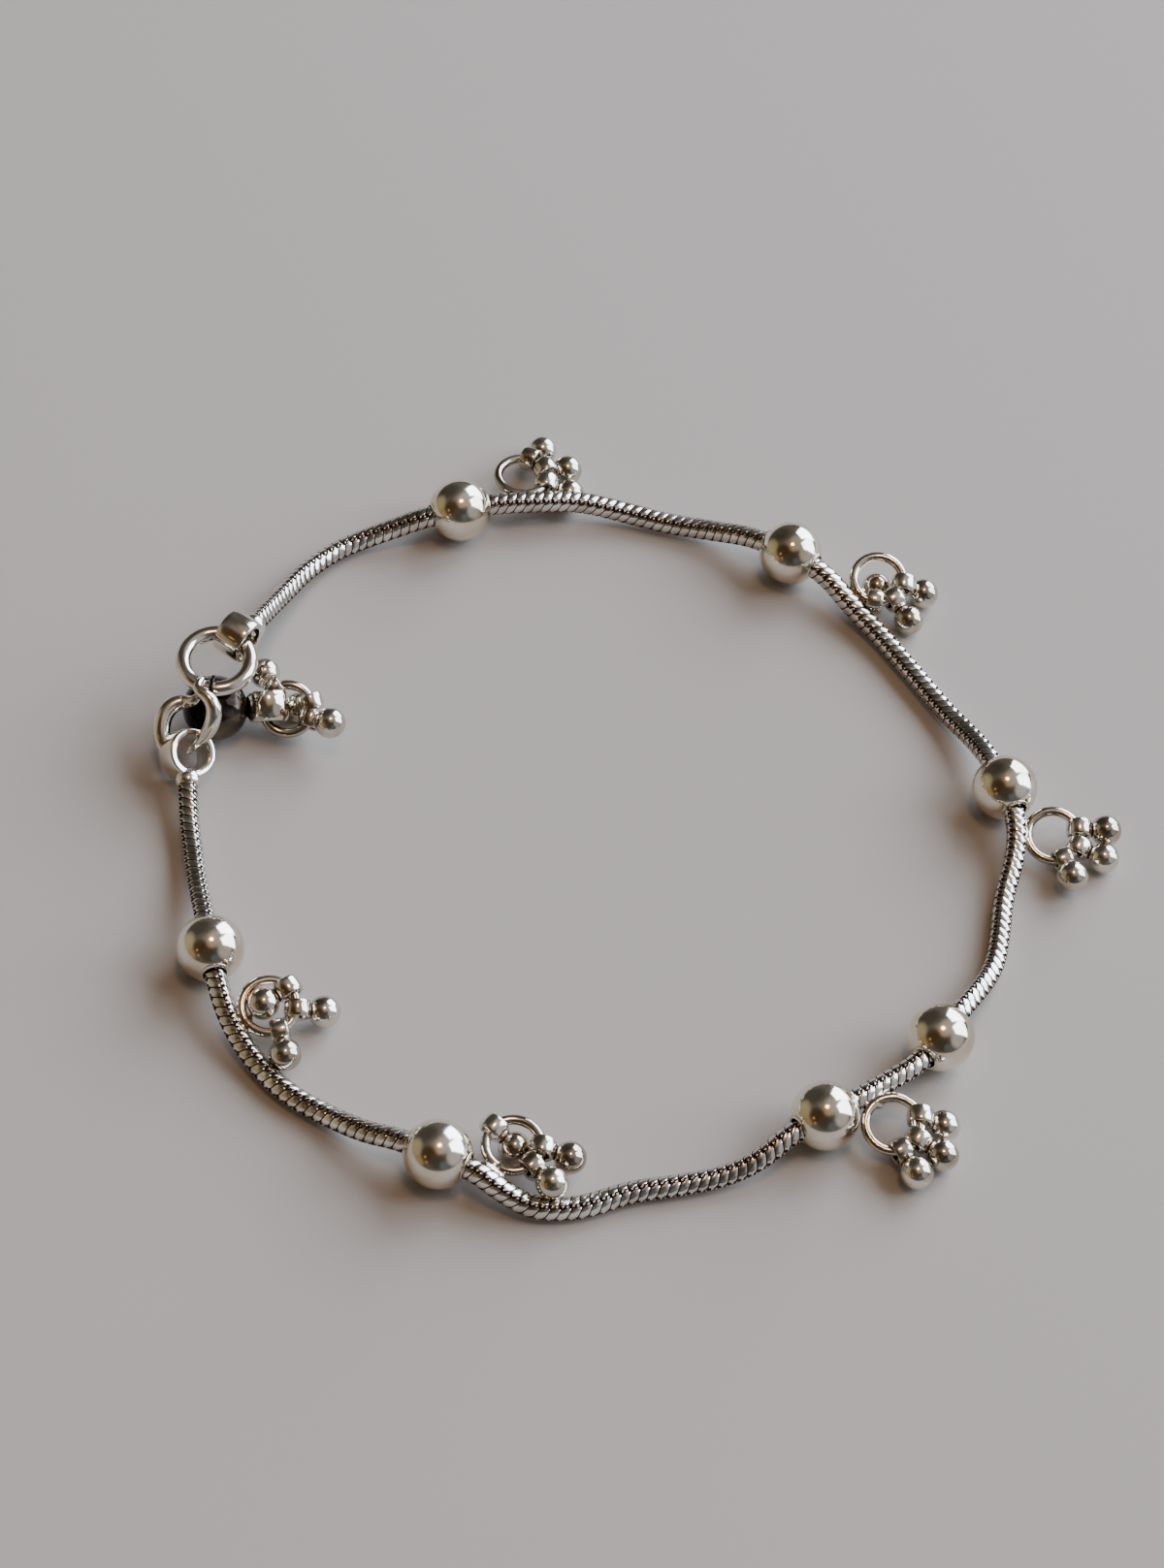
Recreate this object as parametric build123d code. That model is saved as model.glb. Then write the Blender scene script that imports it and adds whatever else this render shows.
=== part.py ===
from build123d import *
from math import cos, pi, radians, sin, tan
import os

# Payal anklet of silver: a square snake chain strung with seven hollow balls, six
# jump rings of small ghungroo soldered to its side, and a hook and ring clasp that
# carries a larger drop. It lies on a table as it was put down. Millimetres, +Z up.

# ---- driving dimensions ----
CHAIN_DIAMETER = 2.0

BALL_DIAMETER = 6.5
BALL_WALL = 0.4
BALL_HOLE = 2.8
BALL_RIM_WIRE = 0.3

CHARM_RING_DIAMETER = 5.6
CHARM_RING_WIRE = 0.85
SOLDER_DIAMETER = 1.3

BELL_DIAMETER = 2.9
BELL_LOOP_DIAMETER = 2.2
BELL_LOOP_BAND = 1.2
BELL_LOOP_WALL = 0.33
BELL_LOOP_SEAT = 0.12          # the loop is let into the ball by this much
BELL_LOOP_HANG = 0.08          # from the ring's wire to the middle of the loop

BAIL_DIAMETER = 4.6
BAIL_BAND = 3.0
BAIL_WALL = 0.5

CLASP_RING_DIAMETER = 8.1
CLASP_RING_WIRE = 1.4
HOOK_WIRE = 1.0
HOOK_BEND = 1.3                # the hook's bend round the clasp ring's wire

DROP_LOOP_DIAMETER = 4.4
DROP_LOOP_BAND = 2.6
DROP_LOOP_WALL = 0.45
DROP_EYE_RADIUS = 1.3
DROP_EYE_WIRE = 0.5

CHAIN_RADIUS = CHAIN_DIAMETER / 2
BALL_RADIUS = BALL_DIAMETER / 2
CHARM_RING_RADIUS = (CHARM_RING_DIAMETER - CHARM_RING_WIRE) / 2
CLASP_RING_RADIUS = (CLASP_RING_DIAMETER - CLASP_RING_WIRE) / 2

# ---- the chain's way round the ankle, from the upper bail to the lower one ----
# Each ball sits at the middle of the run that carries its number.
CHAIN_ROUTE = [
    # x      y      z    ball on the run that starts here
    (-39.7, 13.0, 7.6, 0),
    (-38.9, 16.6, 5.7, 0),
    (-37.7, 21.2, 3.4, 0),
    (-36.0, 26.2, 1.9, 0),
    (-33.3, 30.2, 1.1, 0),
    (-30.7, 32.2, 1.25, 0),
    (-27.2, 33.5, 2.3, 0),
    (-24.2, 34.6, 3.25, 1),
    (-17.6, 37.4, 3.25, 0),
    (-13.3, 38.5, 3.0, 0),
    (-8.7, 39.7, 2.6, 0),
    (-3.8, 39.8, 1.5, 0),
    (0.9, 39.1, 1.05, 0),
    (5.9, 38.3, 1.7, 0),
    (10.5, 36.5, 3.25, 2),
    (16.9, 33.1, 3.25, 0),
    (20.3, 29.8, 1.9, 0),
    (24.0, 26.1, 1.05, 0),
    (27.7, 21.1, 1.05, 0),
    (30.7, 17.0, 1.1, 0),
    (33.2, 13.5, 2.0, 0),
    (35.1, 9.6, 3.25, 3),
    (37.7, 3.0, 3.25, 0),
    (37.7, -1.6, 2.0, 0),
    (36.7, -6.0, 1.05, 0),
    (36.5, -10.4, 1.05, 0),
    (36.0, -14.4, 1.15, 0),
    (34.5, -18.0, 2.1, 0),
    (32.4, -21.8, 3.25, 4),
    (29.0, -28.0, 3.25, 0),
    (26.0, -30.4, 3.0, 0),
    (23.1, -33.0, 3.25, 5),
    (17.3, -37.4, 3.25, 0),
    (14.7, -40.1, 2.2, 0),
    (11.5, -41.7, 1.1, 0),
    (7.2, -43.2, 1.05, 0),
    (2.9, -44.4, 1.05, 0),
    (-1.1, -46.7, 1.05, 0),
    (-5.5, -47.5, 1.3, 0),
    (-8.8, -46.5, 2.4, 0),
    (-11.4, -45.1, 3.25, 6),
    (-18.2, -42.7, 3.25, 0),
    (-21.7, -41.7, 2.3, 0),
    (-25.3, -39.6, 1.1, 0),
    (-29.6, -37.5, 1.05, 0),
    (-33.2, -34.0, 1.1, 0),
    (-35.7, -30.8, 2.1, 0),
    (-37.5, -27.0, 3.25, 7),
    (-39.5, -20.0, 3.25, 0),
    (-40.7, -15.9, 2.0, 0),
    (-41.8, -11.6, 1.3, 0),
    (-42.8, -7.6, 1.35, 0),
    (-43.4, -4.5, 1.9, 0),
    (-43.75, -2.2, 2.2, 0),
]

# ---- the soldered rings of ghungroo ----
# Tilt lifts a ring's far side. Around is the bell's place on the ring, lift turns it
# out of the ring's plane about the wire, and lean tips it along the wire.
CHARMS = [
    # name  ring x  y      z    tilt  bells: (around, lift, lean)
    ("a", -14.9, 42.5, 2.5, 0, [(77, -24, -12), (30, -24, -3), (344, -24, 10)]),
    ("b", 22.95, 32.55, 3.15, 20, [(265, -140, 0), (310, -10, 0), (355, -40, 0)]),
    ("c", 41.4, 1.9, 2.2, 20, [(25, 0, -12), (340, 0, 0), (295, 30, 0)]),
    ("d", 26.5, -34.9, 2.55, 20, [(20, -20, -12), (335, 0, 0), (290, 10, 12)]),
    ("e", -8.2, -42.0, 3.0, 10, [(140, -150, -10), (320, 5, 0), (5, -15, -10)]),
    ("f", -31.9, -29.2, 2.9, 20, [(50, 170, 10), (0, -10, 0), (300, 10, -12)]),
]

# ---- the clasp, the drop ball and its bunch of bells ----
UPPER_BAIL = Vector(-40.65, 11.2, 8.3)
LOWER_BAIL = Vector(-43.85, 0.0, 2.5)
LOWER_BAIL_AXIS = Vector(0.33, -0.30, 0.89)
CLASP_RING = Vector(-42.3, 7.8, 8.2)
CLASP_RING_TILT = 8
UPPER_BAIL_AROUND = 60
HOOK_AROUND = 235
DROP_BALL = Vector(-42.2, 5.9, 3.25)
BUNCH_RING = Vector(-35.1, 6.8, 3.2)
BUNCH_RING_TILT = 37
BUNCH = [(130, -45, 0), (340, 40, 12), (22, -112, 0)]
HOOK_TIP = [Vector(-43.9, -0.5, 3.4), Vector(-42.3, 0.2, 5.4), Vector(-41.8, 1.2, 7.3),
            Vector(-42.3, 2.2, 8.9)]
HOOK_HEEL = [Vector(-45.6, 4.5, 5.4), Vector(-46.9, 3.6, 3.9), Vector(-47.2, 2.3, 2.4),
             Vector(-46.0, 1.3, 0.85), Vector(-44.4, 0.5, 1.0), Vector(-44.1, 0.3, 1.9)]


def tube(points, radii, radius):
    """A round tube along straight runs joined by tangent arcs."""
    path = FilletPolyline(*points, radius=radii)
    start = Plane(origin=path @ 0, z_dir=path % 0)
    return sweep(start * Circle(radius), path=path)


def route_radii(points, share=0.45):
    """The arc at each corner takes a share of its shorter run."""
    radii = []
    for before, corner, after in zip(points, points[1:], points[2:]):
        turn = (corner - before).get_angle(after - corner)
        shorter = min((corner - before).length, (after - corner).length)
        radii.append(share * shorter / tan(radians(turn) / 2))
    return radii


def ring_directions(tilt):
    """Right, far and up of a ring whose far side is lifted by tilt."""
    far = Vector(0, cos(radians(tilt)), sin(radians(tilt)))
    up = Vector(0, -sin(radians(tilt)), cos(radians(tilt)))
    return Vector(1, 0, 0), far, up


def ring(centre, tilt, radius, wire):
    right, far, up = ring_directions(tilt)
    return Plane(origin=centre, x_dir=right, z_dir=up) * Torus(radius, wire / 2)


def band_loop(centre, axis, diameter, band, wall):
    """A strip of sheet bent into a loop about axis, its edges softened."""
    outer = Plane(origin=centre, z_dir=axis) * Cylinder(diameter / 2, band)
    bore = Plane(origin=centre, z_dir=axis) * Cylinder(diameter / 2 - wall, 2 * band)
    loop = outer - bore
    return fillet(loop.edges().filter_by(GeomType.CIRCLE), 0.3 * wall)


def bell(ring_centre, tilt, around, lift, lean):
    """A ghungroo: a ball on a wide loop that hangs on a ring's wire."""
    right, far, up = ring_directions(tilt)
    a, b, c = radians(around), radians(lift), radians(lean)
    outward = right * cos(a) + far * sin(a)
    along = far * cos(a) - right * sin(a)
    hang = outward * cos(b) + up * sin(b)
    loop_centre = ring_centre + outward * CHARM_RING_RADIUS + hang * BELL_LOOP_HANG
    out = hang * cos(c) + along * sin(c)
    axis = along * cos(c) - hang * sin(c)
    reach = (BELL_DIAMETER + BELL_LOOP_DIAMETER) / 2 - BELL_LOOP_SEAT
    ball = Pos(*(loop_centre + out * reach)) * Sphere(BELL_DIAMETER / 2)
    bore = Plane(origin=loop_centre, z_dir=axis) * Cylinder(
        BELL_LOOP_DIAMETER / 2 - BELL_LOOP_WALL, 3 * BELL_LOOP_BAND)
    loop = band_loop(loop_centre, axis, BELL_LOOP_DIAMETER, BELL_LOOP_BAND, BELL_LOOP_WALL)
    return loop + (ball - bore)


def strung_ball(centre, axis):
    """A hollow ball pressed in two halves, with a rolled rim round each hole."""
    seat = Plane(origin=centre, z_dir=axis)
    shell = Sphere(BALL_RADIUS) - Sphere(BALL_RADIUS - BALL_WALL)
    shell -= Cylinder(BALL_HOLE / 2, 2 * BALL_DIAMETER)
    mouth = (BALL_RADIUS**2 - (BALL_HOLE / 2)**2)**0.5 - BALL_RIM_WIRE / 4
    for side in (-mouth, mouth):
        rim = Torus((BALL_HOLE + BALL_RIM_WIRE) / 2, BALL_RIM_WIRE / 2)
        shell += Pos(0, 0, side) * rim
    return seat * shell


def nearest(point, points):
    """The place on a polyline that lies nearest to a point."""
    best = None
    for start, end in zip(points, points[1:]):
        run = end - start
        t = max(0, min(1, (point - start).dot(run) / run.dot(run)))
        place = start + run * t
        if best is None or (place - point).length < (best - point).length:
            best = place
    return best


def solder(ring_centre, tilt, points):
    """The filled joint between a ring's wire and the side of the chain."""
    right, far, up = ring_directions(tilt)
    on_chain = nearest(ring_centre, points)
    toward = on_chain - ring_centre
    toward = (toward - up * toward.dot(up)).normalized()
    on_ring = ring_centre + toward * CHARM_RING_RADIUS
    on_chain = nearest(on_ring, points)
    span = on_chain - on_ring
    web = Plane(origin=on_ring + span / 2, z_dir=span) * Cylinder(
        SOLDER_DIAMETER / 2, span.length)
    return web


def chain():
    """The chain with all that is soldered to it: bails and charm rings."""
    points = [Vector(x, y, z) for x, y, z, _ in CHAIN_ROUTE]
    radii = route_radii(points)
    print("chain arc radii:", " ".join(f"{r:.1f}" for r in radii))
    rope = tube(points, radii, CHAIN_RADIUS)
    path_length = FilletPolyline(*points, radius=radii).length
    section = pi * CHAIN_RADIUS**2
    print(f"chain length {path_length:.1f}, volume {rope.volume:.2f}, "
          f"section x length {section * path_length:.2f}")
    right, far, up = ring_directions(CLASP_RING_TILT)
    around = radians(UPPER_BAIL_AROUND)
    upper_axis = far * cos(around) - right * sin(around)
    whole = rope
    for centre, axis, end in ((UPPER_BAIL, upper_axis, points[0]),
                              (LOWER_BAIL, LOWER_BAIL_AXIS, points[-1])):
        bail = band_loop(centre, axis, BAIL_DIAMETER, BAIL_BAND, BAIL_WALL)
        bore = Plane(origin=centre, z_dir=axis) * Cylinder(
            BAIL_DIAMETER / 2 - BAIL_WALL, 2 * BAIL_BAND)
        collar = Pos(*end) * Sphere(1.15 * CHAIN_RADIUS)
        whole = (whole + collar - bore) + bail
    for name, x, y, z, tilt, _ in CHARMS:
        centre = Vector(x, y, z)
        whole += ring(centre, tilt, CHARM_RING_RADIUS, CHARM_RING_WIRE)
        whole += solder(centre, tilt, points)
    return whole


def hook():
    """A wire hook: bent round the clasp ring, both ends meeting in the lower bail."""
    right, far, up = ring_directions(CLASP_RING_TILT)
    a = radians(HOOK_AROUND)
    outward = right * cos(a) + far * sin(a)
    wire = CLASP_RING + outward * CLASP_RING_RADIUS
    bend = [wire + outward * HOOK_BEND * side + up * HOOK_BEND * level
            for side, level in ((1, 1), (-1, 1), (-1, -1), (1, -1))]
    points = HOOK_TIP + bend + HOOK_HEEL
    return tube(points, route_radii(points), HOOK_WIRE / 2)


def drop():
    """The drop ball with its eye on the clasp ring and its wide loop for the bunch."""
    right, far, up = ring_directions(CLASP_RING_TILT)
    near_wire = CLASP_RING - far * CLASP_RING_RADIUS
    to_wire = (near_wire - DROP_BALL).normalized()
    eye_centre = DROP_BALL + to_wire * (BALL_RADIUS + DROP_EYE_RADIUS - DROP_EYE_WIRE / 2)
    eye = Plane(origin=eye_centre, z_dir=right) * Torus(DROP_EYE_RADIUS, DROP_EYE_WIRE / 2)
    loop_right, loop_far, loop_up = ring_directions(BUNCH_RING_TILT)
    to_loop = (BUNCH_RING - loop_right * CHARM_RING_RADIUS - DROP_BALL).normalized()
    axis = (loop_far - to_loop * loop_far.dot(to_loop)).normalized()
    reach = BALL_RADIUS + DROP_LOOP_DIAMETER / 2 - DROP_LOOP_WALL / 2
    loop_centre = DROP_BALL + to_loop * reach
    loop = band_loop(loop_centre, axis, DROP_LOOP_DIAMETER, DROP_LOOP_BAND, DROP_LOOP_WALL)
    bore = Plane(origin=loop_centre, z_dir=axis) * Cylinder(
        DROP_LOOP_DIAMETER / 2 - DROP_LOOP_WALL, 3 * DROP_LOOP_BAND)
    shell = Sphere(BALL_RADIUS) - Sphere(BALL_RADIUS - BALL_WALL)
    body = Pos(*DROP_BALL) * shell - bore
    eye -= Pos(*DROP_BALL) * Sphere(BALL_RADIUS - BALL_WALL / 2)
    return body + loop + eye


nodes = {"snake_chain": chain()}

for start, end in zip(CHAIN_ROUTE, CHAIN_ROUTE[1:]):
    if start[3]:
        first, last = Vector(*start[:3]), Vector(*end[:3])
        nodes[f"ball_{start[3]}"] = strung_ball((first + last) / 2, last - first)

for name, x, y, z, tilt, bells in CHARMS:
    for number, (around, lift, lean) in enumerate(bells, 1):
        nodes[f"ghungroo_{name}_{number}"] = bell(Vector(x, y, z), tilt, around, lift, lean)

nodes["clasp_ring"] = ring(CLASP_RING, CLASP_RING_TILT, CLASP_RING_RADIUS, CLASP_RING_WIRE)
nodes["clasp_hook"] = hook()
nodes["drop_ball"] = drop()
nodes["bunch_ring"] = ring(BUNCH_RING, BUNCH_RING_TILT, CHARM_RING_RADIUS, CHARM_RING_WIRE)
for number, (around, lift, lean) in enumerate(BUNCH, 1):
    nodes[f"ghungroo_bunch_{number}"] = bell(BUNCH_RING, BUNCH_RING_TILT, around, lift, lean)

os.makedirs("parts", exist_ok=True)
for name, shape in nodes.items():
    shape.label = name
    export_step(shape, f"parts/{name}.step")
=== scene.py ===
import bmesh
import bpy
from math import cos, pi, radians, sin
from mathutils import Matrix, Vector


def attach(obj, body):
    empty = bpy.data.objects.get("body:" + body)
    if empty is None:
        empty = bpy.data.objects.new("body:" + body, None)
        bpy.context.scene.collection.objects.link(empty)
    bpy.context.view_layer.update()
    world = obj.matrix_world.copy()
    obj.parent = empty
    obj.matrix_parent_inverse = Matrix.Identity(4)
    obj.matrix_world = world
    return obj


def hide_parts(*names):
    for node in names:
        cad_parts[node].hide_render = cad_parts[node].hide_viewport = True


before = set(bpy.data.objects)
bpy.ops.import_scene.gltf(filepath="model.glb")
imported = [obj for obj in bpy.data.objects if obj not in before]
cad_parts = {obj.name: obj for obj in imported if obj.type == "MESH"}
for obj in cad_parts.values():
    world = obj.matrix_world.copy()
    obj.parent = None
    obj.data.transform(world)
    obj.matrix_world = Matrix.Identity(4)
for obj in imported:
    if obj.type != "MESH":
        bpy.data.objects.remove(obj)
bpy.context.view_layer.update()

# ---------------------------------------------------------------------------
# The snake chain.
# Sterling silver plates, stamped, folded and linked into a square rope whose four
# rows of scales lock like a zip, rubbed bright; black is painted between the scales
# and inside the rope as their shade.
# ---------------------------------------------------------------------------
MM = 0.001

CHAIN_ROUTE = [
    # x       y        z       turn of the rope about its own line, degrees
    (-0.0397, 0.0130, 0.00760, 51),
    (-0.0389, 0.0166, 0.00570, 50),
    (-0.0377, 0.0212, 0.00340, 48),
    (-0.0360, 0.0262, 0.00190, 50),
    (-0.0333, 0.0302, 0.00116, 53),
    (-0.0307, 0.0322, 0.00125, 63),
    (-0.0272, 0.0335, 0.00230, 71),
    (-0.0242, 0.0346, 0.00325, 77),
    (-0.0176, 0.0374, 0.00325, 84),
    (-0.0133, 0.0385, 0.00300, 86),
    (-0.0087, 0.0397, 0.00260, 89),
    (-0.0038, 0.0398, 0.00150, 84),
    (0.0009, 0.0391, 0.00116, 81),
    (0.0059, 0.0383, 0.00170, 77),
    (0.0105, 0.0365, 0.00325, 75),
    (0.0169, 0.0331, 0.00325, 84),
    (0.0203, 0.0298, 0.00190, 86),
    (0.0240, 0.0261, 0.00116, 91),
    (0.0277, 0.0211, 0.00116, 91),
    (0.0307, 0.0170, 0.00116, 95),
    (0.0332, 0.0135, 0.00200, 97),
    (0.0351, 0.0096, 0.00325, 93),
    (0.0377, 0.0030, 0.00325, 88),
    (0.0377, -0.0016, 0.00200, 77),
    (0.0367, -0.0060, 0.00116, 78),
    (0.0365, -0.0104, 0.00116, 83),
    (0.0360, -0.0144, 0.00116, 78),
    (0.0345, -0.0180, 0.00210, 70),
    (0.0324, -0.0218, 0.00325, 60),
    (0.0290, -0.0280, 0.00325, 55),
    (0.0260, -0.0304, 0.00300, 47),
    (0.0231, -0.0330, 0.00325, 42),
    (0.0173, -0.0374, 0.00325, 50),
    (0.0147, -0.0401, 0.00220, 49),
    (0.0115, -0.0417, 0.00116, 44),
    (0.0072, -0.0432, 0.00116, 38),
    (0.0029, -0.0444, 0.00116, 33),
    (-0.0011, -0.0467, 0.00116, 23),
    (-0.0055, -0.0475, 0.00130, 17),
    (-0.0088, -0.0465, 0.00240, 20),
    (-0.0114, -0.0451, 0.00325, 24),
    (-0.0182, -0.0427, 0.00325, 27),
    (-0.0217, -0.0417, 0.00230, 30),
    (-0.0253, -0.0396, 0.00116, 34),
    (-0.0296, -0.0375, 0.00116, 39),
    (-0.0332, -0.0340, 0.00116, 46),
    (-0.0357, -0.0308, 0.00210, 49),
    (-0.0375, -0.0270, 0.00325, 62),
    (-0.0395, -0.0200, 0.00325, 72),
    (-0.0407, -0.0159, 0.00200, 76),
    (-0.0418, -0.0116, 0.00130, 79),
    (-0.0428, -0.0076, 0.00135, 81),
    (-0.0434, -0.0045, 0.00190, 83),
    (-0.04375, -0.0022, 0.00220, 84),
]
SCALE_PITCH = 0.95 * MM            # from one scale of a row to the next
SCALE_SLANT = 3 / 8                # of a pitch, from a scale's middle to its tip
SCALE_WALL = 0.26 * MM
CORE_RADIUS = 0.72 * MM

SCALE_ROWS = [
    # across  height  half its length there, in mm: from tip to tip over one side
    (-0.820, 0.690, 0.15),
    (-0.720, 0.835, 0.19),
    (-0.620, 0.850, 0.21),
    (-0.550, 0.895, 0.388),
    (-0.280, 0.955, 0.410),
    (0.000, 0.980, 0.415),
    (0.280, 0.955, 0.410),
    (0.550, 0.895, 0.388),
    (0.620, 0.850, 0.21),
    (0.720, 0.835, 0.19),
    (0.820, 0.690, 0.15),
]
SCALE_SWELL = [                    # mm that each line along the scale lies below its crest
    0.050, 0.005, 0.0, 0.005, 0.050
]
PLATE_REACH = 0.50 * MM            # the tips beyond it are painted black as shade but for their crests
CREST_REACH = 0.11 * MM
EDGE_FACING = 0.35                 # a face that looks up less than this is an edge, painted black as shade
WORN_PATCH = 2.4 * MM
DRAG_MARK = 0.2 * MM               # coarser than the real ones, so that they show
BLACK_CLOUD = 1.1 * MM


def deselect():
    bpy.ops.object.select_all(action="DESELECT")


def only(piece):
    """This piece alone is selected and active."""
    deselect()
    piece.select_set(True)
    bpy.context.view_layer.objects.active = piece


def apply_all(piece):
    only(piece)
    for modifier in list(piece.modifiers):
        bpy.ops.object.modifier_apply(modifier=modifier.name)


def edit(piece):
    """The piece's mesh in edit mode with nothing selected."""
    only(piece)
    bpy.ops.object.mode_set(mode="EDIT")
    bpy.ops.mesh.select_all(action="DESELECT")
    return bmesh.from_edit_mesh(piece.data)


def pick(shape, parts, test):
    """Selects in edit mode the vertices, edges or faces that pass the test."""
    bpy.ops.mesh.select_all(action="DESELECT")
    for part in parts:
        if test(part):
            part.select_set(True)
    shape.select_flush(True)


def join(pieces, name):
    deselect()
    for piece in pieces:
        piece.select_set(True)
    bpy.context.view_layer.objects.active = pieces[0]
    bpy.ops.object.join()
    pieces[0].name = name
    return pieces[0]


def copy_of(piece):
    """A copy with a mesh of its own."""
    twin = piece.copy()
    twin.data = piece.data.copy()
    bpy.context.collection.objects.link(twin)
    return twin


def settle(piece, place=Matrix.Identity(4)):
    """Moves the mesh to its place and leaves the object at the origin."""
    only(piece)
    piece.matrix_world = place @ piece.matrix_world
    bpy.ops.object.transform_apply(location=True, rotation=True, scale=True)


def smooth_line(points, resolution):
    """A line that bends smoothly toward each point in turn, and its spline."""
    deselect()
    bpy.ops.curve.primitive_nurbs_path_add()
    made = bpy.context.object
    made.location = (0, 0, 0)
    made.data.splines.clear()
    spline = made.data.splines.new("NURBS")
    spline.points.add(len(points) - 1)
    for point, (x, y, z) in zip(spline.points, points):
        point.co = (x, y, z, 1)
    spline.order_u = 3
    spline.use_endpoint_u = True
    spline.resolution_u = resolution
    return made, spline


def as_mesh(curve, name):
    """The curve made a mesh, with no material yet."""
    only(curve)
    bpy.ops.object.convert(target="MESH")
    made = bpy.context.object
    made.name = name
    made.data.materials.clear()
    return made


def linear(colour):
    """A hex sRGB colour as Blender's linear one."""
    parts = [int(colour[i:i + 2], 16) / 255 for i in (1, 3, 5)]
    return [c / 12.92 if c <= 0.04045 else ((c + 0.055) / 1.055) ** 2.4 for c in parts] + [1]


def add_node(tree, kind, settings=None, values=None, links=None):
    """A node with its settings, its sockets' values and what feeds them."""
    made = tree.nodes.new(kind)
    for key, value in (settings or {}).items():
        setattr(made, key, value)
    for key, value in (values or {}).items():
        made.inputs[key].default_value = value
    for key, source in (links or {}).items():
        tree.links.new(source, made.inputs[key])
    return made


def new_material(name):
    """A material that is empty but for its output, its node tree and that output."""
    made = bpy.data.materials.new(name)
    made.use_nodes = True
    tree = made.node_tree
    tree.nodes.clear()
    return made, tree, add_node(tree, "ShaderNodeOutputMaterial")


def rubbed_scale_silver():
    """Sterling silver sheet on the tops of the scales, rubbed bright: nearly white,
    greyer in patches where the cloth rubbed less, with fine drag marks that break up
    the shine."""
    made, tree, output = new_material("rubbed_sterling_silver_scales")
    places = add_node(tree, "ShaderNodeTexCoord")
    worn = add_node(tree, "ShaderNodeTexNoise", values={"Scale": 1 / WORN_PATCH, "Detail": 4},
                    links={"Vector": places.outputs["Object"]})
    tone = add_node(tree, "ShaderNodeValToRGB", links={"Fac": worn.outputs["Fac"]})
    tone.color_ramp.elements[0].position = 0.35
    tone.color_ramp.elements[0].color = linear("#C6BDB1")
    tone.color_ramp.elements[1].position = 0.65
    tone.color_ramp.elements[1].color = linear("#EFEBE4")
    gloss = add_node(tree, "ShaderNodeMapRange",
                     values={"To Min": 0.10, "To Max": 0.24},
                     links={"Value": worn.outputs["Fac"]})
    drag = add_node(tree, "ShaderNodeTexNoise", values={"Scale": 1 / DRAG_MARK, "Detail": 2},
                    links={"Vector": places.outputs["Object"]})
    bump = add_node(tree, "ShaderNodeBump", values={"Strength": 0.12, "Distance": 0.02 * MM},
                    links={"Height": drag.outputs["Fac"]})
    shader = add_node(tree, "ShaderNodeBsdfPrincipled", values={"Metallic": 1.0},
                      links={"Base Color": tone.outputs["Color"],
                             "Roughness": gloss.outputs["Result"],
                             "Normal": bump.outputs["Normal"]})
    tree.links.new(shader.outputs["BSDF"], output.inputs["Surface"])
    return made


def painted_shade_silver():
    """Painted shade: brown-black silver with a dull gleam, clouded about every millimetre,
    put where shade falls inside the rope, between the scales and in the bells' seams."""
    made, tree, output = new_material("painted_shade_silver")
    places = add_node(tree, "ShaderNodeTexCoord")
    cloud = add_node(tree, "ShaderNodeTexNoise", values={"Scale": 1 / BLACK_CLOUD, "Detail": 3},
                     links={"Vector": places.outputs["Object"]})
    tone = add_node(tree, "ShaderNodeValToRGB", links={"Fac": cloud.outputs["Fac"]})
    tone.color_ramp.elements[0].color = linear("#120806")
    tone.color_ramp.elements[1].color = linear("#43231A")
    shader = add_node(tree, "ShaderNodeBsdfPrincipled",
                      values={"Metallic": 0.7, "Roughness": 0.5},
                      links={"Base Color": tone.outputs["Color"]})
    tree.links.new(shader.outputs["BSDF"], output.inputs["Surface"])
    return made


def grid_lines(shape, axis, count):
    """The vertices of each line that crosses an axis of a grid two metres wide."""
    shape.verts.index_update()
    levels = [-1 + 2 * number / (count - 1) for number in range(count)]
    return [(level, {v.index for v in shape.verts if abs(v.co[axis] - level) < 0.01})
            for level in levels]


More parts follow.
